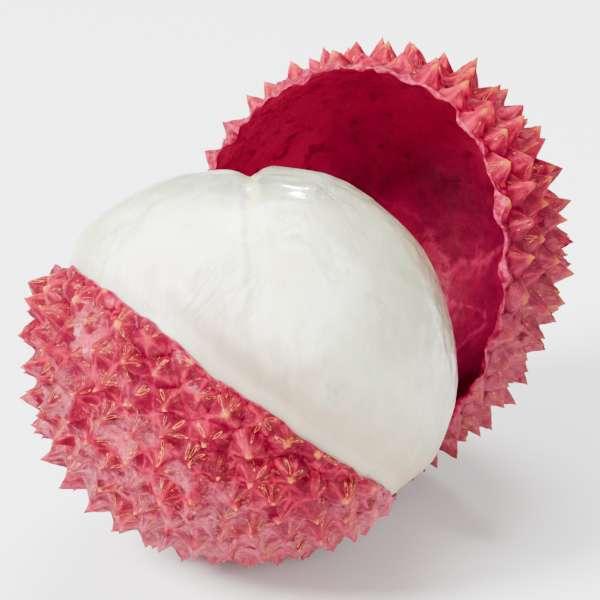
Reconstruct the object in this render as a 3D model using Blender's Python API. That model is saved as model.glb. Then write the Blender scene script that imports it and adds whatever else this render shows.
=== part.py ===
"""A ripe lychee, half peeled.

One half of the spiky rind still sits on the fruit as a cup, the white flesh swells out of it, and the
other half of the rind stands behind as an empty cap. Metres, +Z up, -Y the side that shows the flesh
best. The origin is the flat of the lowest spike, on the surface that the fruit lies on.
"""
import math
from dataclasses import dataclass

import bmesh
import bpy
import numpy as np
from mathutils import Matrix, Vector

# The fruit, measured over the foot of the spikes: half its width, length and height
FRUIT_RADII = (0.01795, 0.0196, 0.01676)
FRUIT_TILT = -19.75             # degrees about X, which lifts its near end
RIND_WALL = 0.0008
FLESH_GAP = 0.0004              # air between rind and flesh
SPIKES_PER_FRUIT = 520          # about 3 mm apart
EVENING_ROUNDS = 30             # scattered spikes push each other apart this many times,
EVENING_STEP = 0.2              # each time by at most this share of their spacing
REST_PRESS = 0.0008             # how much of the lowest spike is pressed flat

# The cup, the half of the rind that is still on the fruit
CUP_OPENING = (23.8, 52.9)      # degrees: azimuth from +X, elevation
CUP_RIM = -0.002                # from the fruit's centre, along the opening
CUP_SPIKE = 0.0017
CUP_SPREAD = 0.22               # share by which spikes differ in height
CUP_EDGE_SHARE = 0.55           # height of the spikes at the torn edge, as a share
CUP_WAVES = ((1, 0.00074, 134.0), (2, 0.0006, 168.0), (3, 0.0002, -104.0), (9, 0.00012, 57.0),
             (14, 0.00009, 115.0))       # waves round the edge, height, phase in degrees
CUP_SEED = 11

# The cap, the other half of the rind
CAP_RADII = (0.0168, 0.018, 0.0196)
CAP_LEAN = 31.9                 # degrees about its own Y, to the right
CAP_OFFSET = (0.00965, 0.01862, 0.00195)    # its centre from the fruit's
CAP_OPENING = (-124.7, 11.8)
CAP_RIM = 0.0027
CAP_SPIKE = 0.0018
CAP_SPREAD = 0.3
CAP_EDGE_SHARE = 0.85
CAP_WAVES = ((3, 0.00022, 20.0), (5, 0.0002, 200.0), (11, 0.00012, 80.0))
CAP_SEED = 29

# The flesh
FLESH_BULGE = 0.0004            # above the rim it stands this far outside the foot of the spikes
FLESH_SWELL = (0.0006, 0.0027)  # heights above the rim between which it swells out over it
SUTURE_NORMAL = (0.968, 0.239, -0.075)      # the plane of the groove between its two lobes
SUTURE_TOP = (0.0, 0.338, 0.941)            # where the groove is deepest, from the centre
SUTURE_DEPTH = 0.0008
SUTURE_WIDTH = 0.0012
SUTURE_FADE = 75.0              # degrees from its deepest place to its ends

SPIKE_CUTS = 2                  # points added between each spike and the next
SPIKE_POWER = 1.45              # above 1 the flanks are hollow
SPIKE_LEAN = 0.28               # how far tips lean, as a share of their height
EDGE_BAND = 0.004               # spikes reach their full height this far from the torn edge
WAVE_FADE = 0.006               # the torn edge's waves die out this near to the axis
SNAP = 0.00005                  # points this near to a cut are moved onto it
INNER_FINENESS = 4              # icosphere subdivisions of the rind's smooth inner face
FLESH_FINENESS = 5              # and of the flesh

CUP_COLOUR = (0.62, 0.05, 0.10)
CAP_COLOUR = (0.55, 0.03, 0.08)
FLESH_COLOUR = (0.86, 0.87, 0.80)
RIND_ROUGHNESS = 0.55
FLESH_ROUGHNESS = 0.25
SHARP_ANGLE = 40.0              # degrees; edges sharper than this are shaded as edges


def aim(azimuth, elevation):
    """Unit vector at an azimuth from +X and an elevation, in degrees."""
    turn, rise = math.radians(azimuth), math.radians(elevation)
    return Vector((math.cos(turn) * math.cos(rise), math.sin(turn) * math.cos(rise), math.sin(rise)))


def smoothstep(low, high, value):
    share = np.clip((value - low) / (high - low), 0.0, 1.0)
    return share * share * (3.0 - 2.0 * share)


def ellipsoid(radii, tilt, lean=0.0):
    """Matrix from the unit sphere to an ellipsoid leaned about its own Y, then tilted about X."""
    turn = Matrix.Rotation(math.radians(tilt), 3, "X") @ Matrix.Rotation(math.radians(lean), 3, "Y")
    return np.array(turn @ Matrix.Diagonal(radii))


def lowest(shape):
    """Direction on the unit sphere, and the point, where the ellipsoid is lowest."""
    direction = shape.T @ np.array((0.0, 0.0, -1.0))
    direction /= np.linalg.norm(direction)
    return direction, shape @ direction


FRUIT_SHAPE = ellipsoid(FRUIT_RADII, FRUIT_TILT)
LOW_POINT = lowest(FRUIT_SHAPE)[1]
FRUIT_CENTRE = np.array((0.0, -LOW_POINT[1], CUP_SPIKE - REST_PRESS - LOW_POINT[2]))
CAP_SHAPE = ellipsoid(CAP_RADII, FRUIT_TILT, CAP_LEAN)


@dataclass
class TornEdge:
    """The wavy edge where the rind was torn: a plane across the opening, with waves round it."""

    centre: np.ndarray
    opening: Vector
    rim: float
    waves: tuple

    def __post_init__(self):
        self.axis = np.array(self.opening)
        front = np.array((0.0, -1.0, 0.0))
        front -= self.axis * (front @ self.axis)
        self.front = front / np.linalg.norm(front)
        self.right = np.cross(self.axis, self.front)

    def wave(self, points):
        """How far the torn edge runs above its plane, round the axis from the front."""
        across = (points - self.centre) @ self.right
        ahead = (points - self.centre) @ self.front
        turn = np.arctan2(across, ahead)
        height = sum(size * np.sin(count * turn + math.radians(phase))
                     for count, size, phase in self.waves)
        return height * smoothstep(0.0, WAVE_FADE, np.hypot(across, ahead))

    def height(self, points):
        """Height of points above the torn edge, along the opening."""
        return (points - self.centre) @ self.axis - self.rim - self.wave(points)

    def shear(self, bm, sign):
        """Slide a mesh along the opening so that the torn edge is flat, or back with sign -1."""
        points = np.array([v.co for v in bm.verts])
        shifts = np.outer(self.wave(points) * -sign, self.axis)
        for vert, shift in zip(bm.verts, shifts):
            vert.co += Vector(shift)


CUP_EDGE = TornEdge(FRUIT_CENTRE, aim(*CUP_OPENING), CUP_RIM, CUP_WAVES)
CAP_CENTRE = FRUIT_CENTRE + np.array(CAP_OFFSET)
CAP_EDGE = TornEdge(CAP_CENTRE, aim(*CAP_OPENING), CAP_RIM, CAP_WAVES)


def spike_centres(first, rng):
    """Directions of the spikes of a whole fruit: scattered, then pushed evenly apart."""
    centres = rng.normal(size=(SPIKES_PER_FRUIT, 3))
    centres /= np.linalg.norm(centres, axis=1)[:, None]
    centres[0] = first
    spacing = math.sqrt(4.0 * math.pi / SPIKES_PER_FRUIT)
    for _ in range(EVENING_ROUNDS):
        gaps = centres[:, None] - centres[None]
        reach = np.linalg.norm(gaps, axis=2) + np.eye(SPIKES_PER_FRUIT)
        push = (gaps * ((spacing / reach) ** 4 / reach)[:, :, None]).sum(axis=1)
        push *= EVENING_STEP * spacing / (1.0 + np.linalg.norm(push, axis=1))[:, None]
        push[0] = 0.0
        centres += push
        centres /= np.linalg.norm(centres, axis=1)[:, None]
    return centres


class Spikes:
    """The spikes of one half of the rind, each a hollow-flanked pyramid on its own cell."""

    def __init__(self, shape, edge, height, spread, seed):
        rng = np.random.default_rng(seed)
        self.shape = shape
        self.centre = edge.centre
        self.centres = spike_centres(lowest(shape)[0], rng)
        self.heights = height * (1.0 + spread * rng.uniform(-1.0, 1.0, SPIKES_PER_FRUIT))
        self.heights[0] = height
        sideways = rng.normal(size=(SPIKES_PER_FRUIT, 3))
        sideways -= self.centres * (sideways * self.centres).sum(axis=1)[:, None]
        sideways /= np.linalg.norm(sideways, axis=1)[:, None]
        reach = SPIKE_LEAN * self.heights * rng.uniform(0.2, 1.0, SPIKES_PER_FRUIT)
        self.leans = sideways * reach[:, None]
        self.leans[0] = 0.0

    def lower_near(self, edge, share):
        """Make the spikes near the torn edge lower, down to a share of their height, and stand them up."""
        full = smoothstep(0.0, EDGE_BAND, -edge.height(self.foot(self.centres)))
        self.heights *= share + (1.0 - share) * full
        self.leans *= full[:, None]

    def foot(self, directions):
        return self.centre + directions @ self.shape.T

    def cells(self, directions):
        """The spike that each direction belongs to, and how near it is to that cell's border, 0 to 1."""
        toward = directions @ self.centres.T
        nearest = toward.argmax(axis=1)
        rows = np.arange(len(directions))
        own = toward[rows, nearest][:, None]
        between = (self.centres @ self.centres.T)[nearest]
        share = (toward - own - between + 1.0) / np.maximum(1.0 - between, 1e-6)
        share[rows, nearest] = 0.0
        return nearest, np.clip(share.max(axis=1), 0.0, 1.0)

    def raise_points(self, points):
        """Lift points from the foot ellipsoid onto the relief of the spikes."""
        directions = (points - self.centre) @ np.linalg.inv(self.shape).T
        directions /= np.linalg.norm(directions, axis=1)[:, None]
        normals = directions @ np.linalg.inv(self.shape)
        normals /= np.linalg.norm(normals, axis=1)[:, None]
        nearest, border = self.cells(directions)
        rise = ((1.0 - border) ** SPIKE_POWER)[:, None]
        return points + (normals * self.heights[nearest][:, None] + self.leans[nearest]) * rise


def outer_face(spikes, edge):
    """The foot of the spikes, a net with a point at each spike, cut off at the torn edge."""
    bm = bmesh.new()
    for direction in spikes.centres:
        bm.verts.new(direction)
    bmesh.ops.convex_hull(bm, input=bm.verts)
    bmesh.ops.subdivide_edges(bm, edges=bm.edges, cuts=SPIKE_CUTS, use_grid_fill=True)
    for vert in bm.verts:
        vert.co = Vector(spikes.foot(np.array([vert.co.normalized()]))[0])
    bmesh.ops.recalc_face_normals(bm, faces=bm.faces)
    cut_at(bm, edge)
    return bm


def inner_face(shape, edge):
    """The smooth inside of the rind, facing inwards, cut off at the same edge."""
    bm = bmesh.new()
    bmesh.ops.create_icosphere(bm, subdivisions=INNER_FINENESS, radius=1.0)
    for vert in bm.verts:
        direction = np.array(vert.co.normalized())
        normal = direction @ np.linalg.inv(shape)
        normal /= np.linalg.norm(normal)
        vert.co = Vector(edge.centre + shape @ direction - normal * RIND_WALL)
    cut_at(bm, edge)
    bmesh.ops.reverse_faces(bm, faces=bm.faces)
    return bm


def cut_at(bm, edge):
    """Flatten the torn edge and take off everything beyond it."""
    edge.shear(bm, 1)
    bmesh.ops.bisect_plane(
        bm, geom=bm.verts[:] + bm.edges[:] + bm.faces[:], dist=SNAP, use_snap_center=True,
        plane_co=edge.centre + edge.axis * edge.rim, plane_no=edge.axis, clear_outer=True)


def press_flat(bm):
    """Press whatever reaches below the ground into flats."""
    cut = bmesh.ops.bisect_plane(
        bm, geom=bm.verts[:] + bm.edges[:] + bm.faces[:], dist=SNAP, use_snap_center=True,
        plane_co=(0.0, 0.0, 0.0), plane_no=(0.0, 0.0, 1.0), clear_inner=True)
    rings = [item for item in cut["geom_cut"] if isinstance(item, bmesh.types.BMEdge)]
    bmesh.ops.holes_fill(bm, edges=rings, sides=0)


def rind_half(name, spikes, edge, colour):
    """One half of the rind: spiky outside, smooth inside, joined by the torn edge."""
    bm = outer_face(spikes, edge)
    outside = bm.verts.layers.int.new("outside")
    for vert in bm.verts:
        vert[outside] = 1
    inner = inner_face(spikes.shape, edge)
    mesh = bpy.data.meshes.new(name)
    inner.to_mesh(mesh)
    inner.free()
    bm.from_mesh(mesh)
    rings = [item for item in bm.edges if item.is_boundary]
    bmesh.ops.triangle_fill(bm, edges=rings, use_beauty=True, normal=edge.axis)
    edge.shear(bm, -1)
    skin = [vert for vert in bm.verts if vert[outside] == 1]
    for vert, place in zip(skin, spikes.raise_points(np.array([v.co for v in skin]))):
        vert.co = Vector(place)
    press_flat(bm)
    bmesh.ops.recalc_face_normals(bm, faces=bm.faces)
    bm.to_mesh(mesh)
    bm.free()
    place_object(name, mesh, colour, RIND_ROUGHNESS)


def flesh():
    """The white flesh: it fills the cup, swells out over the rim and has a groove between two lobes."""
    bm = bmesh.new()
    bmesh.ops.create_icosphere(bm, subdivisions=FLESH_FINENESS, radius=1.0)
    directions = np.array([v.co.normalized() for v in bm.verts])
    normals = directions @ np.linalg.inv(FRUIT_SHAPE)
    normals /= np.linalg.norm(normals, axis=1)[:, None]
    foot = FRUIT_CENTRE + directions @ FRUIT_SHAPE.T
    swell = smoothstep(*FLESH_SWELL, CUP_EDGE.height(foot))
    inset = (RIND_WALL + FLESH_GAP) * (1.0 - swell) - FLESH_BULGE * swell
    off_suture = (foot - FRUIT_CENTRE) @ np.array(Vector(SUTURE_NORMAL).normalized())
    along = foot - FRUIT_CENTRE
    along /= np.linalg.norm(along, axis=1)[:, None]
    toward_top = along @ np.array(Vector(SUTURE_TOP).normalized())
    from_top = np.degrees(np.arccos(np.clip(toward_top, -1.0, 1.0)))
    groove = np.exp(-(off_suture / SUTURE_WIDTH) ** 2) * (1.0 - smoothstep(0.0, SUTURE_FADE, from_top))
    points = foot - normals * (inset + SUTURE_DEPTH * groove)[:, None]
    for vert, place in zip(bm.verts, points):
        vert.co = Vector(place)
    mesh = bpy.data.meshes.new("flesh")
    bm.to_mesh(mesh)
    bm.free()
    place_object("flesh", mesh, FLESH_COLOUR, FLESH_ROUGHNESS)


def place_object(name, mesh, colour, roughness):
    material = bpy.data.materials.new(name)
    material.use_nodes = True
    finish = material.node_tree.nodes["Principled BSDF"]
    finish.inputs["Base Color"].default_value = (*colour, 1.0)
    finish.inputs["Roughness"].default_value = roughness
    finish.inputs["Metallic"].default_value = 0.0
    mesh.materials.append(material)
    mesh.shade_smooth()
    mesh.set_sharp_from_angle(angle=math.radians(SHARP_ANGLE))
    bpy.context.scene.collection.objects.link(bpy.data.objects.new(name, mesh))


for leftover in list(bpy.data.objects):
    bpy.data.objects.remove(leftover, do_unlink=True)

cup_spikes = Spikes(FRUIT_SHAPE, CUP_EDGE, CUP_SPIKE, CUP_SPREAD, CUP_SEED)
cup_spikes.lower_near(CUP_EDGE, CUP_EDGE_SHARE)
rind_half("rind_cup", cup_spikes, CUP_EDGE, CUP_COLOUR)
flesh()
cap_spikes = Spikes(CAP_SHAPE, CAP_EDGE, CAP_SPIKE, CAP_SPREAD, CAP_SEED)
cap_spikes.lower_near(CAP_EDGE, CAP_EDGE_SHARE)
rind_half("rind_cap", cap_spikes, CAP_EDGE, CAP_COLOUR)
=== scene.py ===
"""A half-peeled lychee: how its rind, its torn edges and its wet flesh look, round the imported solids."""
import math

import bmesh
import bpy
import numpy as np
from mathutils import Matrix, Vector


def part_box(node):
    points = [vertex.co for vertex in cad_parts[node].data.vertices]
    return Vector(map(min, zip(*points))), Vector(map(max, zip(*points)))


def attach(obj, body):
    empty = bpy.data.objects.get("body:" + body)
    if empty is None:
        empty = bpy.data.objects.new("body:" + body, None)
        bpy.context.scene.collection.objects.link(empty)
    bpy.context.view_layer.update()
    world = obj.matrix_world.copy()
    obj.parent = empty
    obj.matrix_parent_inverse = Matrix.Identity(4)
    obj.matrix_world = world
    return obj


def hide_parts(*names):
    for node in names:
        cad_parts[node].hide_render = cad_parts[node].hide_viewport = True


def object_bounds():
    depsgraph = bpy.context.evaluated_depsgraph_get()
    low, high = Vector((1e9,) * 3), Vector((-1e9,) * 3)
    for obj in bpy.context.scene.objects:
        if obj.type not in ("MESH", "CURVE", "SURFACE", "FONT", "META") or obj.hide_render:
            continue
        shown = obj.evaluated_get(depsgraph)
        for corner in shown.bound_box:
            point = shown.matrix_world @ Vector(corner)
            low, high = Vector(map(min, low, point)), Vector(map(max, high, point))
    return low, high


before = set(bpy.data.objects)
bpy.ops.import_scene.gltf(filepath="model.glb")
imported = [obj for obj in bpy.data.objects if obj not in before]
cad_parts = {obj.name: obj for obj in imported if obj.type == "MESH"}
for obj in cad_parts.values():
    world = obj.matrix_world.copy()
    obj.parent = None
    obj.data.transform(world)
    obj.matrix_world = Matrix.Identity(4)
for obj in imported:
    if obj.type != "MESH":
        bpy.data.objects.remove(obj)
solid_box = [list(corner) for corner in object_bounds()]


# The rind cup
#
# The half of the rind that is still on the fruit: a leathery shell 0.8 mm thick that thins toward its wavy
# torn edge, covered with hollow-flanked spikes about 3 mm apart. They stand where those of the solid do.

MM = 0.001
FRUIT_RADII = (17.95 * MM, 19.6 * MM, 16.76 * MM)     # over the foot of the spikes
FRUIT_TILT = -19.75                                    # degrees about X
RIND_WALL = 0.8 * MM
RIND_THINNING = 0.58        # share of the wall that is gone at the torn edge,
THINNING_BAND = 2.5 * MM    # and how far below the edge it starts to go
SPIKES_PER_FRUIT = 520
SPIKE_LEAN = 0.28
EDGE_BAND = 4.0 * MM        # spikes reach their full height this far from the torn edge
TUCK_BAND = 1.2 * MM        # and are pressed down in this last stretch
PLATE_BAND = (1.5 * MM, 6.0 * MM)      # depths below it over which plates turn into spikes
WAVE_FADE = 6.0 * MM        # the torn edge's waves die out this near to the axis
KNOBS = 400
KNOB_REACH = 0.045          # radians, half the width of a knob
CREST = 0.12 * MM           # how far the middle of the torn edge stands above its sides
SHARP_ANGLE = 70.0          # degrees


def smoothstep(low, high, value):
    share = np.clip((value - low) / (high - low), 0.0, 1.0)
    return share * share * (3.0 - 2.0 * share)


def aim(azimuth, elevation):
    """Unit vector at an azimuth from +X and an elevation, in degrees."""
    turn, rise = math.radians(azimuth), math.radians(elevation)
    return np.array((math.cos(turn) * math.cos(rise), math.sin(turn) * math.cos(rise), math.sin(rise)))


def near(outward, azimuth, elevation, width):
    """1 in one direction from the middle of the fruit, fading out over about this many degrees."""
    apart = np.degrees(np.arccos(np.clip(outward @ aim(azimuth, elevation), -1.0, 1.0)))
    return np.exp(-(apart / width) ** 2)


def ellipsoid(radii, tilt, lean=0.0):
    """Matrix from the unit sphere to an ellipsoid leaned about its own Y, then tilted about X."""
    turn = Matrix.Rotation(math.radians(tilt), 3, "X") @ Matrix.Rotation(math.radians(lean), 3, "Y")
    return np.array(turn @ Matrix.Diagonal(radii))


def lowest(shape):
    """Direction on the unit sphere, and the point, where the ellipsoid is lowest."""
    direction = shape.T @ np.array((0.0, 0.0, -1.0))
    direction /= np.linalg.norm(direction)
    return direction, shape @ direction


def unit(rows):
    return rows / np.linalg.norm(rows, axis=1)[:, None]


def ripple(points, size, seed, waves=9):
    """Smooth uneven noise from about -1 to 1 over points, whose swells are about this size."""
    rng = np.random.default_rng(seed)
    ways = unit(rng.normal(size=(waves, 3))) * rng.uniform(0.6, 1.4, waves)[:, None] * 2.0 * math.pi / size
    phases = rng.uniform(0.0, 2.0 * math.pi, waves)
    return np.sin(points @ ways.T + phases).sum(axis=1) / math.sqrt(waves * 2.0)


def place(verts, points):
    for vert, point in zip(verts, points):
        vert.co = point


class TornEdge:
    """The wavy edge where the rind was torn: a plane across the opening, with waves round it.

    A wave is a count round the edge, a height and a phase in degrees.
    """

    def __init__(self, centre, opening, rim, waves):
        self.centre = centre
        self.axis = opening
        self.rim = rim
        self.waves = waves
        front = np.array((0.0, -1.0, 0.0))
        front -= self.axis * (front @ self.axis)
        self.front = front / np.linalg.norm(front)
        self.right = np.cross(self.axis, self.front)

    def wave(self, points):
        across = (points - self.centre) @ self.right
        ahead = (points - self.centre) @ self.front
        turn = np.arctan2(across, ahead)
        height = sum(size * np.sin(count * turn + math.radians(phase))
                     for count, size, phase in self.waves)
        return height * smoothstep(0.0, WAVE_FADE, np.hypot(across, ahead))

    def height(self, points):
        return (points - self.centre) @ self.axis - self.rim - self.wave(points)

    def cut(self, bm):
        """Flatten the torn edge and take off everything beyond it."""
        self.shear(bm, 1)
        bmesh.ops.bisect_plane(
            bm, geom=bm.verts[:] + bm.edges[:] + bm.faces[:], dist=0.02 * MM, use_snap_center=True,
            plane_co=self.centre + self.axis * self.rim, plane_no=self.axis, clear_outer=True)

    def shear(self, bm, sign):
        points = np.array([v.co for v in bm.verts])
        place(bm.verts, points - np.outer(self.wave(points) * sign, self.axis))


def spike_centres(first, rng):
    """Directions of the spikes of a whole fruit: scattered, then pushed evenly apart."""
    centres = unit(rng.normal(size=(SPIKES_PER_FRUIT, 3)))
    centres[0] = first
    spacing = math.sqrt(4.0 * math.pi / SPIKES_PER_FRUIT)
    for _ in range(30):
        gaps = centres[:, None] - centres[None]
        reach = np.linalg.norm(gaps, axis=2) + np.eye(SPIKES_PER_FRUIT)
        push = (gaps * ((spacing / reach) ** 4 / reach)[:, :, None]).sum(axis=1)
        push *= 0.2 * spacing / (1.0 + np.linalg.norm(push, axis=1))[:, None]
        push[0] = 0.0
        centres = unit(centres + push)
    return centres


class Spikes:
    """The spikes of one half of the rind, each a hollow-flanked pyramid on its own cell.

    The height of a spike differs by the share spread, then drops by chance to no less than lowest_share of
    itself; at the torn edge edge_share of it is left. Each patch scales the heights round an azimuth and an
    elevation, over a width, by 1 and a gain. A higher ridge_power sharpens the ridges between the flanks, a
    higher power hollows the flanks and dish hollows them across; bluntness rounds the tips, and plates
    makes flat-topped plates of the spikes near the edge. Knobs and crumple are the skin's own unevenness.
    """

    def __init__(self, shape, edge, height, spread, edge_share, seed, ridge_power, bluntness, dish,
                 knob_height, crumple, power, lowest_share, plates, patches):
        rng = np.random.default_rng(seed)
        self.shape = shape
        self.flat = np.linalg.inv(shape)
        self.edge = edge
        self.centres = spike_centres(lowest(shape)[0], rng)
        self.heights = height * (1.0 + spread * rng.uniform(-1.0, 1.0, SPIKES_PER_FRUIT))
        self.heights[0] = height
        sideways = rng.normal(size=(SPIKES_PER_FRUIT, 3))
        sideways = unit(sideways - self.centres * (sideways * self.centres).sum(axis=1)[:, None])
        reach = SPIKE_LEAN * self.heights * rng.uniform(0.2, 1.0, SPIKES_PER_FRUIT)
        self.leans = sideways * reach[:, None]
        self.leans[0] = 0.0
        full = smoothstep(0.0, EDGE_BAND, -edge.height(self.foot(self.centres)))
        self.heights *= edge_share + (1.0 - edge_share) * full
        self.tucked_share = edge_share * 0.8
        self.leans *= full[:, None]
        self.powers = power + rng.uniform(-0.3, 0.35, SPIKES_PER_FRUIT)
        upward = unit(edge.axis - self.centres * (self.centres @ edge.axis)[:, None])
        self.ways = (upward, np.cross(self.centres, upward))
        self.chances = rng.uniform(0.0, 1.0, (SPIKES_PER_FRUIT, 2))
        self.ridge_power = ridge_power
        self.bluntness = bluntness
        self.dish = dish
        self.knob_height = knob_height
        self.heights[1:] *= rng.uniform(lowest_share, 1.0, SPIKES_PER_FRUIT - 1)
        outward = unit(self.foot(self.centres) - edge.centre)
        for azimuth, elevation, width, gain in patches:
            self.heights[1:] *= 1.0 + gain * near(outward[1:], azimuth, elevation, width)
        self.crumple = crumple
        self.plates = plates
        self.knobs = unit(rng.normal(size=(KNOBS, 3)))
        self.knob_sizes = rng.uniform(0.2, 1.0, KNOBS)
        alike = self.centres @ self.centres.T
        self.beside = np.argsort(-alike, axis=1)[:, 1:11]
        self.apart = 1.0 - np.take_along_axis(alike, self.beside, axis=1)

    def foot(self, directions):
        return self.edge.centre + directions @ self.shape.T

    def directions(self, points):
        return unit((points - self.edge.centre) @ self.flat.T)

    def nearest(self, directions):
        """The spike that each direction belongs to."""
        chunks = np.array_split(directions, max(1, len(directions) // 20000))
        return np.concatenate([(chunk @ self.centres.T).argmax(axis=1) for chunk in chunks])

    def knobbiness(self, directions):
        """Height from 0 to 1 of the small knobs scattered between the spikes."""
        chunks = np.array_split(directions, max(1, len(directions) // 20000))
        best = np.concatenate([(chunk @ self.knobs.T).max(axis=1) for chunk in chunks])
        owner = np.concatenate([(chunk @ self.knobs.T).argmax(axis=1) for chunk in chunks])
        away = np.sqrt(np.maximum(0.0, 2.0 - 2.0 * best)) / KNOB_REACH
        return np.clip(1.0 - away, 0.0, 1.0) ** 1.3 * self.knob_sizes[owner]

    def border(self, directions, owner):
        """How near each direction is to its cell's border, and how far it is from a ridge, both 0 to 1."""
        own = (directions * self.centres[owner]).sum(axis=1)
        ridge = np.zeros(len(directions))
        most = np.zeros(len(directions))
        next_most = np.zeros(len(directions))
        for column in range(self.beside.shape[1]):
            toward = (directions * self.centres[self.beside[owner, column]]).sum(axis=1)
            apart = self.apart[owner, column]
            share = np.clip((toward - own + apart) / apart, 0.0, 1.0)
            ridge += share ** self.ridge_power
            next_most = np.maximum(next_most, np.minimum(most, share))
            most = np.maximum(most, share)
        facet = (most - next_most) / np.maximum(most, 0.08)
        return np.clip(ridge ** (1.0 / self.ridge_power), 0.0, 1.0), facet

    def relief(self, points):
        """Points lifted from the foot of the spikes onto their relief.

        With them come each one's share of the way up a spike, how near it is to its cell's border, and how
        far it is from a ridge.
        """
        directions = self.directions(points)
        normals = unit(directions @ self.flat)
        owner = self.nearest(directions)
        border, facet = self.border(directions, owner)

        # Away from the tips the cells' borders wander, and the flanks are dished
        sideways = np.stack([ripple(directions, 0.22, 70 + way) for way in range(3)], axis=1)
        wandered = unit(directions + 0.012 * sideways)
        crooked = self.border(wandered, self.nearest(wandered))[0]
        border = np.minimum(1.0, border + (crooked - border) * smoothstep(0.1, 0.5, border))
        border = np.minimum(1.0, border + self.dish * facet * border * (1.0 - border) * 4.0)

        # A spike is a hollow-flanked pyramid with a blunt tip, or near the torn edge a plate
        soft = self.bluntness
        blunt = (np.sqrt(border ** 2 + soft ** 2) - soft) / (math.sqrt(1.0 + soft ** 2) - soft)
        rise = (1.0 - blunt) ** self.powers[owner]
        below = -self.edge.height(points)
        plate = self.plates * (1.0 - smoothstep(*PLATE_BAND, below))
        rise += plate * (0.6 * (1.0 - border ** 5) + 0.4 * rise - rise)
        tucked = self.tucked_share + (1.0 - self.tucked_share) * smoothstep(0.0, TUCK_BAND, below)
        lift = normals * (self.heights[owner] * rise)[:, None]
        lift += self.leans[owner] * (1.3 * rise ** 2)[:, None]
        lift *= tucked[:, None]

        # The skin between the spikes is crumpled, and has knobs on it
        crumple = (ripple(points, 1.3 * MM, 5, 14) + 0.5 * ripple(points, 0.7 * MM, 6, 14) - 1.4)
        crumple *= self.crumple * smoothstep(0.0, 0.25, border)
        knobs = self.knob_height * self.knobbiness(directions) * smoothstep(0.15, 0.5, border) * tucked
        return points + lift + normals * (crumple + knobs)[:, None], rise, border, facet


def wall_at(height):
    """Thickness of the rind at a height above the torn edge; it thins toward the edge."""
    return RIND_WALL * (1.0 - RIND_THINNING * smoothstep(-THINNING_BAND, 0.0, height))


def rind_half(name, spikes, cuts, inner_fineness, unevenness):
    """One half of the rind as a closed shell: relief outside, a dimpled lining, and a rounded torn edge.

    The outside has a point on each spike and cuts more between each and the next.
    """
    edge = spikes.edge
    bm = bmesh.new()
    for direction in spikes.centres:
        bm.verts.new(direction)
    bmesh.ops.convex_hull(bm, input=bm.verts)
    bmesh.ops.subdivide_edges(bm, edges=bm.edges, cuts=cuts, use_grid_fill=True)
    place(bm.verts, spikes.foot(unit(np.array([v.co for v in bm.verts]))))
    bmesh.ops.recalc_face_normals(bm, faces=bm.faces)
    edge.cut(bm)
    outside = bm.verts.layers.int.new("outside")
    for vert in bm.verts:
        vert[outside] = 1

    mesh = bpy.data.meshes.new(name)
    inner = bmesh.new()
    bmesh.ops.create_icosphere(inner, subdivisions=inner_fineness, radius=1.0)
    directions = unit(np.array([v.co for v in inner.verts]))
    normals = unit(directions @ spikes.flat)
    foot = spikes.foot(directions)
    thickness = wall_at(edge.height(foot))

    # The lining is dimpled, and more so at the torn edge
    at_rim = smoothstep(-1.5 * MM, 0.0, edge.height(foot))
    dimple = (0.05 * MM * ripple(foot, 3.0 * MM, 21, 12) + 0.03 * MM * ripple(foot, 1.2 * MM, 22, 12)
              + 1.4 * unevenness * at_rim * ripple(foot, 2.2 * MM, 23, 12))
    place(inner.verts, foot - normals * (thickness + np.clip(dimple, -0.25 * MM, unevenness))[:, None])
    edge.cut(inner)
    bmesh.ops.reverse_faces(inner, faces=inner.faces)
    for face in inner.faces:
        face.material_index = 1
    inner.to_mesh(mesh)
    inner.free()

    # A strip of torn pith with a raised middle joins the two walls
    bm.from_mesh(mesh)
    rings = [item for item in bm.edges if item.is_boundary]
    filled = bmesh.ops.triangle_fill(bm, edges=rings, use_beauty=True, normal=edge.axis)
    torn = [item for item in filled["geom"] if isinstance(item, bmesh.types.BMFace)]
    across = {item for face in torn for item in face.edges} - set(rings)
    for face in torn:
        face.material_index = 2
    halved = bmesh.ops.subdivide_edges(bm, edges=list(across), cuts=1)
    edge.shear(bm, -1)
    crest = [item for item in halved["geom_inner"] if isinstance(item, bmesh.types.BMVert)]
    points = np.array([v.co for v in crest])
    bump = CREST + 0.05 * MM * ripple(points, 0.9 * MM, 31, 12)
    place(crest, points + np.outer(bump, edge.axis))

    # The outside is lifted onto its spikes, and keeps what its finish reads
    layers = [bm.verts.layers.float.new(title) for title in ("rise", "border", "facet")]
    skin = [vert for vert in bm.verts if vert[outside] == 1]
    lifted, *shares = spikes.relief(np.array([v.co for v in skin]))
    place(skin, np.clip(lifted, *np.array(solid_box)))
    for layer, values in zip(layers, shares):
        for vert, value in zip(skin, values):
            vert[layer] = value
    below = bm.verts.layers.float.new("below")
    depths = -edge.height(np.array([v.co for v in bm.verts])) / MM
    for vert, depth in zip(bm.verts, depths):
        vert[below] = depth
    bmesh.ops.recalc_face_normals(bm, faces=bm.faces)
    bm.to_mesh(mesh)
    bm.free()
    spike_maps(mesh, spikes)
    mesh.shade_smooth()
    mesh.set_sharp_from_angle(angle=math.radians(SHARP_ANGLE))
    piece = bpy.data.objects.new(name, mesh)
    bpy.context.scene.collection.objects.link(piece)
    return piece


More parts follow.
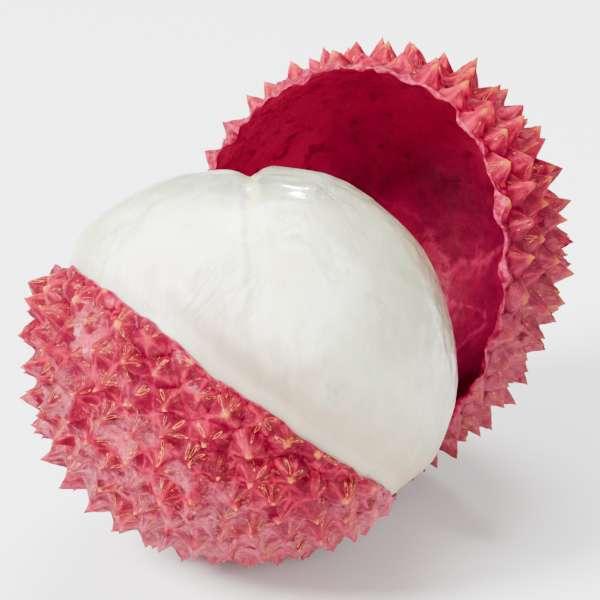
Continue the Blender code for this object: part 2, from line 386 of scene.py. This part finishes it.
def spike_maps(mesh, spikes):
    """Two maps for the outside: each face's place round its own spike, in mm, and that spike's chances."""
    corners = np.empty(len(mesh.loops), int)
    mesh.loops.foreach_get("vertex_index", corners)
    points = np.empty(len(mesh.vertices) * 3)
    mesh.vertices.foreach_get("co", points)
    points = points.reshape(-1, 3)
    sides = np.empty(len(mesh.polygons), int)
    mesh.polygons.foreach_get("loop_total", sides)
    middles = np.empty(len(mesh.polygons) * 3)
    mesh.polygons.foreach_get("center", middles)
    owner = np.repeat(spikes.nearest(spikes.directions(middles.reshape(-1, 3))), sides)
    foot = spikes.foot(spikes.directions(points))[corners] - spikes.foot(spikes.centres)[owner]
    around = np.stack([(foot * way[owner]).sum(axis=1) for way in spikes.ways], axis=1) / MM
    for title, values in (("around_spike", around), ("spike_chance", spikes.chances[owner])):
        layer = mesh.uv_layers.new(name=title)
        layer.uv.foreach_set("vector", values.astype(np.float32).ravel())


class Shade:
    """A number or colour in a material. Arithmetic adds Math nodes, and node() adds any other."""

    def __init__(self, tree, socket=None):
        self.tree = tree
        self.socket = socket

    def node(self, kind, settings=None, inputs=None, output=0):
        made = self.tree.nodes.new("ShaderNode" + kind)
        for key, value in (settings or {}).items():
            setattr(made, key, value)
        for key, value in (inputs or {}).items():
            if isinstance(value, Shade):
                self.tree.links.new(value.socket, made.inputs[key])
            else:
                made.inputs[key].default_value = value
        return Shade(self.tree, made.outputs[output])

    def maths(self, operation, first, second=0.0):
        return self.node("Math", {"operation": operation}, {0: first, 1: second})

    def __add__(self, other):
        return self.maths("ADD", self, other)

    def __sub__(self, other):
        return self.maths("SUBTRACT", self, other)

    def __rsub__(self, other):
        return self.maths("SUBTRACT", other, self)

    def __mul__(self, other):
        return self.maths("MULTIPLY", self, other)

    def __truediv__(self, other):
        return self.maths("DIVIDE", self, other)

    def __pow__(self, other):
        return self.maths("POWER", self, other)

    def __abs__(self):
        return self.maths("ABSOLUTE", self)

    __radd__ = __add__
    __rmul__ = __mul__

    def most(self, other):
        """Whichever is higher."""
        return self.maths("MAXIMUM", self, other)

    def step(self, low, high):
        """0 below low, 1 above high and smooth between, or the other way round where high is lower."""
        start, end = (0.0, 1.0) if low < high else (1.0, 0.0)
        return self.node("MapRange", {"interpolation_type": "SMOOTHSTEP"},
                         {"Value": self, "From Min": min(low, high), "From Max": max(low, high),
                          "To Min": start, "To Max": end})

    def mix(self, other, share):
        """This colour with a share of another."""
        return self.node("Mix", {"data_type": "RGBA"}, {0: share, 6: self, 7: other}, 2)

    def parts(self, kind, count):
        """The first few parts of a vector or a colour."""
        split = self.node("Separate" + kind, {}, {0: self})
        return [Shade(self.tree, split.socket.node.outputs[i]) for i in range(count)]


class Finish:
    """A new Principled material, with its nodes' common starting points."""

    def __init__(self, name):
        self.material = bpy.data.materials.new(name)
        self.material.use_nodes = True
        self.tree = self.material.node_tree
        self.surface = self.tree.nodes["Principled BSDF"]
        self.node = Shade(self.tree).node
        self.place = self.node("TexCoord", output="Object")

    def value(self, name):
        """A number that the mesh carries."""
        return self.node("Attribute", {"attribute_name": name}, output="Fac")

    def across(self):
        """How far right and how high a place is, in mm."""
        right, _, height = self.place.parts("XYZ", 3)
        return right / MM, height / MM

    def noise(self, size, detail=2.0, roughness=0.5, distortion=0.0, where=None):
        """Smooth noise from 0 to 1 whose swells are about this many mm."""
        return self.node(
            "TexNoise", {}, {"Vector": where or self.place, "Scale": 1.0 / (size * MM), "Detail": detail,
                             "Roughness": roughness, "Distortion": distortion})

    def warped(self, reach, size):
        """The place pushed about by up to this many mm, in swells of about this many mm."""
        push = self.node("TexNoise", {}, {"Vector": self.place, "Scale": 1.0 / (size * MM), "Detail": 3.0},
                         "Color")
        return self.node("VectorMath", {"operation": "MULTIPLY_ADD"},
                         {0: push, 1: (reach * MM, reach * MM, reach * MM), 2: self.place})

    def shifted(self, metres):
        """The same place in another part of the noise."""
        return self.node("VectorMath", {"operation": "ADD"}, {0: self.place, 1: (metres, metres, 0.0)})

    def blend(self, one, other, share):
        """A share of the way from one colour to another."""
        return self.node("Mix", {"data_type": "RGBA"}, {0: share, 6: one, 7: other}, 2)

    def set(self, **sockets):
        """Give the surface its values; names have _ for spaces."""
        for name, value in sockets.items():
            socket = self.surface.inputs[name.replace("_", " ")]
            if isinstance(value, Shade):
                self.tree.links.new(value.socket, socket)
            else:
                socket.default_value = value

    def bump(self, height, distance):
        """A bumped normal from a height of 0 to 1 that stands for this many mm."""
        return self.node("Bump", {}, {"Height": height, "Distance": distance * MM, "Strength": 1.0})


def colour(red, green, blue):
    """A colour given as the eye sees it, 0 to 255, as the shader's linear one."""
    return tuple(((c / 255 + 0.055) / 1.055) ** 2.4 if c > 10 else c / 3294.6
                 for c in (red, green, blue)) + (1.0,)


def golden_loops(finish, turn, radius, first, second, favoured, loops):
    """Short golden ovals in two rings round each spike, more of them on its upper side."""
    half_long, half_wide = 0.42, 0.11       # mm
    marks = None
    for ring, (sectors, nearest, reach, wanted) in enumerate(((9.0, 0.55, 0.4, 0.36),
                                                              (12.0, 0.95, 0.5, 0.28))):
        sector = turn * sectors + first * 7.0 + ring * 0.4
        number = sector.maths("FLOOR", sector)
        seed = finish.node("CombineXYZ", {}, {0: number, 1: first * 91.7 + ring, 2: second})
        drawn = finish.node("TexWhiteNoise", {"noise_dimensions": "3D"}, {"Vector": seed}, "Color")
        one, two, three = drawn.parts("Color", 3)
        askew = (two - 0.5) * 0.5
        off = (sector - number - 0.5 - (one - 0.5) * 0.5) / sectors * (2.0 * math.pi) * radius
        out = radius - nearest - two * reach
        size = 0.6 + three * 0.8
        lengthways = (out + off * askew) / half_long / size
        sideways = (off - out * askew) / half_wide / size
        oval = (lengthways ** 2.0 + sideways ** 2.0) ** 0.5
        loop = abs(oval - 0.84).step(0.28, 0.08)
        here = (one.maths("FRACT", one * 13.0) - (favoured * wanted + 0.06) * loops).step(0.02, -0.02)
        mark = loop * here
        marks = mark if marks is None else marks.most(mark)
    return marks


def fine_hairs(finish):
    """Fine pale strands that lie every way."""
    hairs = None
    for size, thick in ((0.5, 0.022), (0.32, 0.03), (0.75, 0.015)):
        wander = finish.noise(size, 3.0, 0.5, 0.6, where=finish.shifted(size))
        strand = abs(wander - 0.5).step(thick, 0.0)
        strand = strand * finish.noise(size * 1.4, 1.0, where=finish.shifted(-size)).step(0.45, 0.55)
        hairs = strand if hairs is None else hairs.most(strand)
    return hairs


def rind_outside(name, deep, bright, dusty, frosty, gold, pale_gold, tip_from, loops, wash, sheen_below,
                 wet, bump_height, crevice_shade, web=None):
    """Crimson rind: yellow spike tips, golden loops round the spikes, and a bloom of frosty fibres.

    The bloom lies away from the torn edge. Below sheen_below mm and on the right side a painted sheen, a pale
    mauve haze, is laid over it. The flanks, the crevices and the seams of the plates carry painted shade, and
    the crimson is brighter high up. Tips are gold from tip_from of the way up. A pale web fills the valleys
    round one place.
    """
    finish = Finish(name)
    around = finish.node("UVMap", {"uv_map": "around_spike"})
    chance = finish.node("UVMap", {"uv_map": "spike_chance"})
    along, aside = around.parts("XYZ", 2)
    first, second = chance.parts("XYZ", 2)
    rise = finish.value("rise")
    border = finish.value("border")
    below = finish.value("below")
    facet = finish.value("facet")
    radius = (along * along + aside * aside) ** 0.5
    turn = aside.maths("ARCTAN2", aside, along) / (2.0 * math.pi) + 0.5
    favoured = (along / radius).step(-0.4, 0.9)
    marks = golden_loops(finish, turn, radius, first, second, favoured, loops)
    swell = finish.noise(4.0, 2.0)
    mottle = finish.noise(0.9, 3.0, 0.6)
    grain = finish.noise(0.2, 2.0, 0.6)

    # Rays that run down the flanks, and the bloom of fibres
    ray_place = finish.node("CombineXYZ", {}, {
        0: turn * 26.0 + mottle * 1.5, 1: radius * 0.9, 2: first * 40.0 + second * 23.0})
    rays = finish.node("TexNoise", {}, {"Vector": ray_place, "Scale": 1.0, "Detail": 3.0, "Roughness": 0.6})
    hairs = fine_hairs(finish)
    near_edge = below.step(6.0, 2.0)
    far_edge = below.step(4.0, 11.0)
    rightward, height = finish.across()
    # Painted sheen: a pale mauve haze painted low down and on the right side, which the fibres follow too
    sheen_level = height - rightward.step(6.0, 16.0) * 12.0 + (swell - 0.5) * 16.0
    painted_sheen = sheen_level.step(sheen_below + 16.0, sheen_below - 2.0)
    frost_and_sheen = finish.noise(2.8, 3.0, 0.6).step(0.4, 0.62) * (0.05 + far_edge * 0.95)
    frost_and_sheen = frost_and_sheen.most(painted_sheen * mottle.step(0.25, 0.6))
    fibres = rays.step(0.5, 0.72).most(hairs) * frost_and_sheen

    # Dark spots, painted shade on the flanks so that the ridges read as lit, and dust in the valleys and on
    # the ridges
    spots = finish.noise(2.2, 2.0, 0.5, where=finish.shifted(0.5)).step(0.64, 0.69)
    # Painted shade: the spikes' flanks are darkened and their ridges left bright, over the rind's own uneven
    # tone
    shade = facet.step(0.08, 0.3) * border.step(0.2, 0.5) * border.step(1.0, 0.9)
    tone_and_flank_shade = (swell * 0.5 + mottle * 0.5 + rays * 0.4).step(0.5, 0.95) * (1.0 - shade * 0.85)
    valley = border + (mottle - 0.5) * 0.3
    dusty_valley = border.step(0.9, 1.0) * mottle.step(0.35, 0.6) * (0.45 - near_edge * 0.35)
    dusty_ridge = facet.step(0.1, 0.0) * mottle.step(0.45, 0.65) * border.step(0.2, 0.5)
    dusty_ridge = dusty_ridge * (0.3 - near_edge * 0.2)
    # A brighter crimson high up on the fruit, less of it on the darkened flanks
    brighter_high_up = (height + (swell - 0.5) * 8.0).step(24.0, 35.0) * (1.0 - shade * 0.5) * mottle.step(0.25, 0.55)
    glaze = near_edge * mottle.step(0.3, 0.6) * wet

    base = finish.blend(deep, bright, tone_and_flank_shade)
    base = base.mix(dusty, dusty_valley)
    base = base.mix(dusty, dusty_ridge)
    base = base.mix(colour(196, 4, 54), brighter_high_up * 0.5)
    # Frost patches and the painted sheen, both in the frosty colour
    base = base.mix(frosty, frost_and_sheen * mottle.step(0.3, 0.6) * wash + painted_sheen * 0.25)
    base = base.mix(frosty, fibres * border.step(0.1, 0.4) * 0.65)
    base = base.mix(colour(64, 0, 18), spots * 0.75)
    # Painted shade: the deepest valleys between the spikes are darkened
    base = base.mix(colour(70, 0, 22), valley.step(0.7, 1.0) * crevice_shade)
    # Painted shade in the seams between the plates near the torn edge
    base = base.mix(colour(64, 0, 18), border.step(0.94, 0.99) * near_edge * 0.8)
    base = base.mix(pale_gold, marks * grain.step(0.3, 0.55) * 0.85)
    if web is not None:
        gap = finish.node("VectorMath", {"operation": "DISTANCE"}, {0: finish.warped(1.6, 1.4), 1: web},
                          "Value")
        scar = (gap / MM).step(3.0, 1.7) * valley.step(0.62, 0.74)
        base = base.mix(colour(176, 62, 86), scar * (0.3 + grain.step(0.35, 0.6) * 0.5))
        glaze = glaze.most(scar * 0.14)
    tip = (rise + (grain - 0.5) * 0.3).step(tip_from, 1.02) * second.step(0.1, 0.5)
    base = base.mix(gold, tip * (0.9 - painted_sheen * 0.6))
    relief = grain * 0.3 + mottle * 0.45 + marks * 0.4 + rays * 0.5 + fibres * 0.3
    finish.set(Base_Color=base, Roughness=0.6 - near_edge * 0.25 + mottle * 0.1,
               Normal=finish.bump(relief, bump_height), Specular_IOR_Level=0.02,
               Coat_Weight=glaze, Coat_Roughness=0.16)
    return finish.material


def rind_inside(name, deep, bright):
    """The smooth lining of the rind, deep crimson, with fine veins, streaks and dark spots.

    Painted shade darkens it low on the right and deep behind the flesh; painted light makes it palest high on
    the right and lighter toward the left.
    """
    finish = Finish(name)
    mottle = finish.noise(2.6, 4.0, 0.6)
    fine = finish.noise(0.7, 3.0, 0.6)
    patches = finish.noise(9.0, 3.0, 0.55)
    spots = finish.noise(1.6, 3.0, 0.6, where=finish.shifted(0.1))
    wander = finish.noise(11.0, 2.0, 0.4, 0.3, where=finish.shifted(0.3))
    veins = abs(wander - 0.5).step(0.03, 0.0) * fine.step(0.35, 0.6)
    slanted = finish.node("Mapping", {}, {0: finish.warped(2.0, 5.0), "Rotation": (0.5, 0.9, 0.0),
                                          "Scale": (1.0, 1.0, 0.3)})
    streaks = finish.node("TexNoise", {}, {"Vector": slanted, "Scale": 1.0 / (1.5 * MM), "Detail": 3.0})
    rightward, height = finish.across()
    # The lining's own tone, with painted light toward the left
    light = mottle * 0.35 + patches * 0.3 + fine * 0.2 + rightward.step(22.0, 0.0) * 0.32
    # Painted shade low on the right and deep behind the flesh, and painted light high on the right
    low_right_shade = rightward.step(8.0, 20.0) * height.step(29.0, 21.0)
    high_right_light = rightward.step(10.0, 15.0) * height.step(23.0, 29.0)
    depth = rightward.step(2.0, 9.0) * rightward.step(15.0, 10.0) * height.step(32.0, 27.0)
    base = finish.blend(deep, bright, light.step(0.3, 0.66))
    base = base.mix(colour(48, 2, 16), low_right_shade * 0.6)
    base = base.mix(colour(56, 2, 18), depth * patches.step(0.3, 0.55) * 0.6)
    base = base.mix(colour(184, 22, 68), high_right_light * 0.6)
    base = base.mix(colour(158, 22, 64), streaks.step(0.55, 0.75) * 0.16)
    base = base.mix(colour(160, 28, 70), veins * 0.25)
    base = base.mix(colour(70, 0, 20), spots.step(0.56, 0.7) * 0.6)
    relief = finish.noise(1.5, 2.0, 0.5) * 0.6 + fine * 0.35 + streaks * 0.5
    finish.set(Base_Color=base, Roughness=0.36, Normal=finish.bump(relief, 0.22), Specular_IOR_Level=0.04)
    return finish.material


def rind_torn(name):
    """The torn edge: pale pink pith with crimson flecks."""
    finish = Finish(name)
    flecks = finish.noise(0.5, 3.0, 0.6)
    base = finish.blend(colour(172, 28, 74), colour(116, 2, 38), flecks.step(0.35, 0.6))
    finish.set(Base_Color=base, Roughness=0.5, Normal=finish.bump(flecks, 0.1), Specular_IOR_Level=0.15)
    return finish.material


CUP_OPENING = aim(23.8, 52.9)
CUP_RIM = -2.0 * MM         # from the fruit's centre, along the opening
CUP_SPIKE = 1.7 * MM
REST_PRESS = 0.8 * MM       # how much of the lowest spike is pressed flat
CUP_WEB = np.array((-12.6, -11.4, 8.1)) * MM        # where the pale web is, from the fruit's centre
fruit_shape = ellipsoid(FRUIT_RADII, FRUIT_TILT)
low_point = lowest(fruit_shape)[1]
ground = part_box("rind_cup")[0].z
fruit_centre = np.array((0.0, -low_point[1], ground + CUP_SPIKE - REST_PRESS - low_point[2]))
cup_edge = TornEdge(fruit_centre, CUP_OPENING, CUP_RIM, (
    (1, 0.89 * MM, 120.0), (2, 0.46 * MM, 163.0), (3, 0.21 * MM, -66.0), (4, 0.12 * MM, -64.0),
    (9, 0.12 * MM, 57.0), (14, 0.09 * MM, 115.0), (27, 0.07 * MM, 20.0), (43, 0.05 * MM, 200.0)))
cup_spikes = Spikes(
    fruit_shape, cup_edge, height=CUP_SPIKE, spread=0.22, edge_share=0.55, seed=11, ridge_power=12.0,
    bluntness=0.07, dish=0.1, knob_height=0.2 * MM, crumple=0.05 * MM, power=1.85, lowest_share=0.72,
    plates=0.8, patches=((171.0, 23.0, 9.0, 1.7), (-95.0, -70.0, 32.0, -0.4), (-25.0, -49.0, 24.0, -0.4)))
web_at = cup_spikes.foot(cup_spikes.directions((fruit_centre + CUP_WEB)[None]))[0]
cup = rind_half("lychee_rind_cup", cup_spikes, cuts=13, inner_fineness=5, unevenness=0.1 * MM)
outside = rind_outside(
    "crimson_rind", deep=colour(82, 0, 26), bright=colour(164, 4, 50), dusty=colour(166, 24, 64),
    frosty=colour(194, 104, 122), gold=colour(212, 120, 40), pale_gold=colour(212, 122, 58), tip_from=0.76,
    loops=1.0, wash=0.28, sheen_below=-2.0, wet=0.08, bump_height=0.12, crevice_shade=0.1, web=tuple(web_at))
inside = rind_inside("rind_lining", deep=colour(94, 4, 33), bright=colour(156, 14, 57))
torn = rind_torn("torn_pith")
for material in (outside, inside, torn):
    cup.data.materials.append(material)
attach(cup, "root")
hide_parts("rind_cup")


# The flesh
#
# One wet, translucent white body (the aril) that fills the cup and swells out over its edge, with a groove
# between two lobes. It is clear at its skin and milky inside, with faint veins, creases and a greenish cast.
# Painted light brightens it high on its front; painted shade and painted red reflection darken its top, its
# side toward the cap, one side of the groove and its foot by the rind.

FLESH_GAP = 0.12 * MM                           # between it and the rind
FLESH_BULGE = 0.4 * MM                          # how far it stands outside the foot of the spikes
SWELL_BAND = (0.4 * MM, 4.4 * MM)               # heights above the torn edge between which it swells out
SUTURE_NORMAL = np.array((0.998, 0.066, -0.024))
SUTURE_TOP = np.array((0.0, 0.338, 0.941))      # from the centre to where the groove is deepest
SUTURE = (0.8 * MM, 1.2 * MM, 0.0, 50.0)        # depth, width, and between which degrees it fades
SUTURE_CREASE = (0.1 * MM, 0.45 * MM, 40.0, 100.0)
SUTURE_WANDER = 0.25 * MM
DIPS = ((110.6, 69.0, 9.0, 0.35 * MM), (90.0, 70.0, 17.0, 0.3 * MM), (4.0, 12.0, 24.0, 0.28 * MM))
BULGES = ((29.5, 53.9, 22.0, 0.34 * MM), (170.0, 28.0, 12.0, 0.25 * MM))
# Painted light: patches where the flesh is painted brightest, high on its front, facing the lights
GLOW_PATCHES = ((-112.0, 44.0, 26.0, 1.0), (-76.0, 42.0, 15.0, 1.0))
BRUSHED = ((-153.8, 51.7, 14.0, 1.0), (-94.9, 38.3, 11.0, 1.0))
CAPWARD = aim(28.0, 0.0)                        # the side that leans toward the cap

flesh_bm = bmesh.new()
bmesh.ops.create_icosphere(flesh_bm, subdivisions=7, radius=1.0)
directions = unit(np.array([v.co for v in flesh_bm.verts]))
normals = unit(directions @ np.linalg.inv(fruit_shape))
foot = fruit_centre + directions @ fruit_shape.T
out_of_cup = cup_edge.height(foot)
outward = unit(foot - fruit_centre)
off_suture = (foot - fruit_centre) @ SUTURE_NORMAL
crooked_off = off_suture + SUTURE_WANDER * ripple(foot, 9.0 * MM, 3)
from_top = np.degrees(np.arccos(np.clip(outward @ SUTURE_TOP, -1.0, 1.0)))


def groove_of(depth, width, fades_from, fades_to):
    """A groove along the suture, which fades out between two angles from its top."""
    across = np.exp(-(crooked_off / width) ** 2)
    return across * (1.0 - smoothstep(fades_from, fades_to, from_top)) * depth


def patches_of(patches):
    """Patches on the flesh, each round an azimuth and an elevation, over a width, up to a height."""
    return sum(near(outward, azimuth, elevation, width) * most
               for azimuth, elevation, width, most in patches)


def grain_map(mesh, centre, axis):
    """A place for streaks that run from one pole to the other: round the axis, and slowly along it."""
    points = np.empty(len(mesh.vertices) * 3)
    mesh.vertices.foreach_get("co", points)
    ways = unit(points.reshape(-1, 3) - centre)
    along = ways @ axis
    round_it = unit(ways - np.outer(along, axis) + 1e-6)
    streaked = round_it * 6.0 + np.outer(np.arccos(np.clip(along, -1.0, 1.0)) * 0.9, axis)
    layer = mesh.attributes.new(name="grain_place", type="FLOAT_VECTOR", domain="POINT")
    layer.data.foreach_set("vector", streaked.astype(np.float32).ravel())


def streaks_of(finish, fineness):
    """Noise from 0 to 1 in streaks that run from pole to pole."""
    where = finish.node("Attribute", {"attribute_name": "grain_place"}, output="Vector")
    return finish.node("TexNoise", {}, {"Vector": where, "Scale": fineness, "Detail": 3.0,
                                        "Roughness": 0.55, "Distortion": 0.4})


sunk = groove_of(*SUTURE) + groove_of(*SUTURE_CREASE) + patches_of(DIPS)
lumps = 0.16 * MM * (ripple(foot, 9.0 * MM, 41) - 0.8) + 0.05 * MM * (ripple(foot, 2.6 * MM, 42, 14) - 0.8)
lumps += patches_of(BULGES)
swell = smoothstep(*SWELL_BAND, out_of_cup)
inset = (wall_at(out_of_cup) + FLESH_GAP) * (1.0 - swell) - FLESH_BULGE * swell - lumps * swell
place(flesh_bm.verts, foot - normals * (inset + sunk)[:, None])
for title, values in (("seam", off_suture / MM), ("above", out_of_cup / MM), ("top", from_top),
                      ("capward", normals @ CAPWARD), ("glow", patches_of(GLOW_PATCHES)),
                      ("brushed", patches_of(BRUSHED))):
    layer = flesh_bm.verts.layers.float.new(title)
    for vert, value in zip(flesh_bm.verts, values):
        vert[layer] = value
flesh_mesh = bpy.data.meshes.new("lychee_flesh")
flesh_bm.to_mesh(flesh_mesh)
flesh_bm.free()
flesh_mesh.shade_smooth()
grain_map(flesh_mesh, fruit_centre, SUTURE_TOP)
flesh = bpy.data.objects.new("lychee_flesh", flesh_mesh)
bpy.context.scene.collection.objects.link(flesh)

finish = Finish("wet_aril")
seam = finish.value("seam")
top = finish.value("top")
above = finish.value("above")
capward = finish.value("capward")
rightward, height = finish.across()
cloud = finish.noise(8.0, 3.0, 0.55)
wisps = finish.noise(2.6, 4.0, 0.6, 0.8)
blotch = finish.noise(5.0, 4.0, 0.6, 0.6, where=finish.shifted(0.2))
streaks = streaks_of(finish, 1.5)
fine_streaks = streaks_of(finish, 5.0)
wet = finish.noise(1.4, 3.0, 0.6)

# Creases: short wandering ones, and brushed ones that slant up to the right in two places
crease = abs(finish.noise(3.8, 4.0, 0.6, 0.5, where=finish.shifted(0.4)) - 0.5).step(0.08, 0.0)
crease = crease * finish.noise(5.0, where=finish.shifted(0.3)).step(0.55, 0.66)
slant = (rightward + height) * 0.7
brush_place = finish.node("CombineXYZ", {}, {0: slant * 0.22, 1: (height - rightward) * 1.1, 2: 0.5})
brush = finish.node("TexNoise", {}, {"Vector": brush_place, "Scale": 1.0, "Detail": 3.0, "Distortion": 0.3})
brush = abs(brush - 0.5).step(0.05, 0.0) * (finish.value("brushed") + (wisps - 0.5)).step(0.3, 0.7)

# The groove's pale line, the greenish flesh beside it, and a painted shadow along one side of it
seam_off = seam + (wisps - 0.5) * 1.0 + (cloud - 0.5) * 1.0
seam_line = abs(seam_off).step(0.75, 0.15) * top.step(85.0, 55.0)
seam_side = seam_off.step(0.3, 1.2) * seam_off.step(7.0, 2.0) * top.step(95.0, 60.0)
seam_shadow = abs(seam_off + 0.9).step(0.6, 0.0) * top.step(95.0, 60.0)

# Painted shade and painted reflection: a darker band over the top, shade toward the cap and near the rind,
# red reflected from the cap, and the shadow of a fold above the rind's edge
top_shade = (top + (wisps - 0.5) * 16.0).step(50.0, 30.0) * (0.5 + rightward.step(-5.0, 1.0) * 0.4)
shaded = (capward + (cloud - 0.5) * 0.3).step(-0.1, 0.7)
red_reflection = (capward + (cloud - 0.5) * 0.2).step(0.45, 0.95)
rind_shade = (above + (wisps - 0.5) * 2.0).step(8.0, 2.0) * (0.12 + rightward.step(-12.0, 0.0) * 0.55)
fold_shadow = abs(above - 2.4 + (cloud - 0.5) * 2.0 + (wisps - 0.5) * 1.2).step(1.6, 0.2)
fold_shadow = fold_shadow * rightward.step(-9.0, -4.0) * rightward.step(9.0, 2.0)

# The flesh's own milky clouds, wisps and streaks, with painted light from the glow patches
milky_and_glow = finish.value("glow") * 0.7 + blotch * 0.5 + wisps * 0.3 + streaks * 0.4
base = finish.blend(colour(208, 214, 178), colour(254, 255, 236), milky_and_glow.step(0.55, 1.05))
base = base.mix(colour(208, 212, 150), seam_side * 0.5)
base = base.mix(colour(150, 156, 104), seam_shadow * 0.5)
base = base.mix(colour(176, 186, 146), fine_streaks.step(0.46, 0.62) * cloud.step(0.4, 0.56) * 0.3)
# The painted shade and painted red reflection from the masks above
base = base.mix(colour(120, 130, 102), top_shade)
base = base.mix(colour(166, 164, 130), shaded * 0.7)
base = base.mix(colour(130, 82, 76), red_reflection * 0.85)
base = base.mix(colour(144, 102, 84), rind_shade)
base = base.mix(colour(122, 96, 70), fold_shadow * 0.36)
# Painted shade: greyer flesh just where it meets the torn edge
base = base.mix(colour(190, 170, 150), above.step(1.6, 1.0) * 0.5)
base = base.mix(colour(250, 244, 172), seam_line * 0.7)
base = base.mix(colour(172, 174, 144), crease.most(brush * 0.8) * 0.4)
relief = finish.noise(2.6, 4.0, 0.5) * 0.7 + finish.noise(0.7, 3.0) * 0.2
relief = relief + crease * 0.3 + fine_streaks * 0.15 + brush * 0.5
finish.set(Base_Color=base, Roughness=0.3 + wet * 0.12, Normal=finish.bump(relief, 0.3),
           Subsurface_Weight=1.0, Subsurface_Radius=(1.0, 0.9, 0.7), Subsurface_Scale=1.6 * MM, IOR=1.4,
           Coat_Weight=0.1 + above.step(5.0, 9.0) * wet.step(0.38, 0.56) * 0.9, Coat_Roughness=0.12)
flesh_mesh.materials.append(finish.material)
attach(flesh, "root")
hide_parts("flesh")


# The rind cap
#
# The other half of the rind, torn off whole and standing behind the fruit: an empty shell with a deep
# crimson lining, a pale torn edge and longer, yellower spikes than the cup's.

CAP_RADII = (16.8 * MM, 18.0 * MM, 19.6 * MM)
CAP_LEAN = 31.9                                         # degrees about its own Y
CAP_OFFSET = np.array((9.65, 18.62, 1.95)) * MM         # its centre from the fruit's
CAP_OPENING = aim(-124.7, 11.8)
CAP_RIM = 2.7 * MM
CAP_SPIKE = 1.8 * MM
cap_edge = TornEdge(fruit_centre + CAP_OFFSET, CAP_OPENING, CAP_RIM, (
    (3, 0.22 * MM, 20.0), (5, 0.2 * MM, 200.0), (11, 0.12 * MM, 80.0), (17, 0.12 * MM, 10.0),
    (26, 0.12 * MM, 40.0), (39, 0.06 * MM, 140.0)))
cap_spikes = Spikes(
    ellipsoid(CAP_RADII, FRUIT_TILT, CAP_LEAN), cap_edge, height=CAP_SPIKE, spread=0.3, edge_share=0.85,
    seed=29, ridge_power=9.0, bluntness=0.12, dish=0.08, knob_height=0.45 * MM, crumple=0.08 * MM,
    power=1.45, lowest_share=0.9, plates=0.0, patches=((24.0, 42.0, 26.0, 0.18), (165.0, 36.0, 12.0, 0.9)))
cap = rind_half("lychee_rind_cap", cap_spikes, cuts=12, inner_fineness=6, unevenness=0.32 * MM)
cap_outside = rind_outside(
    "crimson_cap_rind", deep=colour(84, 0, 30), bright=colour(158, 6, 56), dusty=colour(162, 32, 70),
    frosty=colour(176, 84, 100), gold=colour(196, 106, 34), pale_gold=colour(206, 124, 66), tip_from=0.62,
    loops=0.55, wash=0.26, sheen_below=3.0, wet=0.0, bump_height=0.2, crevice_shade=0.42)
for material in (cap_outside, inside, torn):
    cap.data.materials.append(material)
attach(cap, "root")
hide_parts("rind_cap")


# The studio
#
# A pale floor, four round soft lights and a long lens that looks down on the fruit a little.

FLOOR_REACH = 2.0
WORLD_STRENGTH = 0.66
WHITE = (1.0, 1.0, 1.0)
floor_bm = bmesh.new()
bmesh.ops.create_grid(floor_bm, x_segments=1, y_segments=1, size=FLOOR_REACH)
floor_mesh = bpy.data.meshes.new("floor")
floor_bm.to_mesh(floor_mesh)
floor_bm.free()
floor = bpy.data.objects.new("floor", floor_mesh)
bpy.context.scene.collection.objects.link(floor)
finish = Finish("pale_floor")
base = finish.blend(colour(249, 249, 249), colour(252, 252, 252), finish.noise(60.0))
finish.set(Base_Color=base, Roughness=0.8)
floor_mesh.materials.append(finish.material)


def soft_light(name, place_at, size, watts):
    """A round white light that faces the fruit."""
    light = bpy.data.lights.new(name, "AREA")
    light.shape = "DISK"
    light.size = size
    light.energy = watts
    light.color = WHITE
    item = bpy.data.objects.new(name, light)
    item.location = Vector(place_at)
    item.rotation_euler = (Vector(fruit_centre) - item.location).to_track_quat("-Z", "Y").to_euler()
    bpy.context.scene.collection.objects.link(item)


soft_light("key", (-0.50, -0.30, 0.50), size=0.34, watts=27.0)
soft_light("top", (0.05, 0.25, 0.60), size=0.35, watts=6.5)
soft_light("back", (0.10, 0.56, 0.32), size=0.06, watts=1.7)
soft_light("front", (0.30, -0.65, 0.30), size=0.40, watts=5.0)
world = bpy.data.worlds.new("studio")
world.use_nodes = True
world.node_tree.nodes["Background"].inputs["Color"].default_value = (*WHITE, 1.0)
world.node_tree.nodes["Background"].inputs["Strength"].default_value = WORLD_STRENGTH
bpy.context.scene.world = world

CAMERA_DISTANCE = 300.0 * MM
CAMERA_RIGHT = 4.62 * MM        # how far right of the fruit it aims,
CAMERA_ABOVE = 5.3 * MM         # and how far above it
CAMERA_LENS = 210.5             # focal length, mm
looks_down = math.radians(-FRUIT_TILT)
upward = np.array((0.0, math.sin(looks_down), math.cos(looks_down)))
backward = np.array((0.0, -math.cos(looks_down), math.sin(looks_down)))
aside = np.array((CAMERA_RIGHT, 0.0, 0.0))
lens = bpy.data.cameras.new("camera")
lens.lens = CAMERA_LENS
lens.clip_start = 0.01
lens.clip_end = 10.0
camera = bpy.data.objects.new("camera", lens)
camera.location = Vector(fruit_centre + aside + upward * CAMERA_ABOVE + backward * CAMERA_DISTANCE)
camera.rotation_euler = (math.pi / 2.0 - looks_down, 0.0, 0.0)
bpy.context.scene.collection.objects.link(camera)
bpy.context.scene.camera = camera
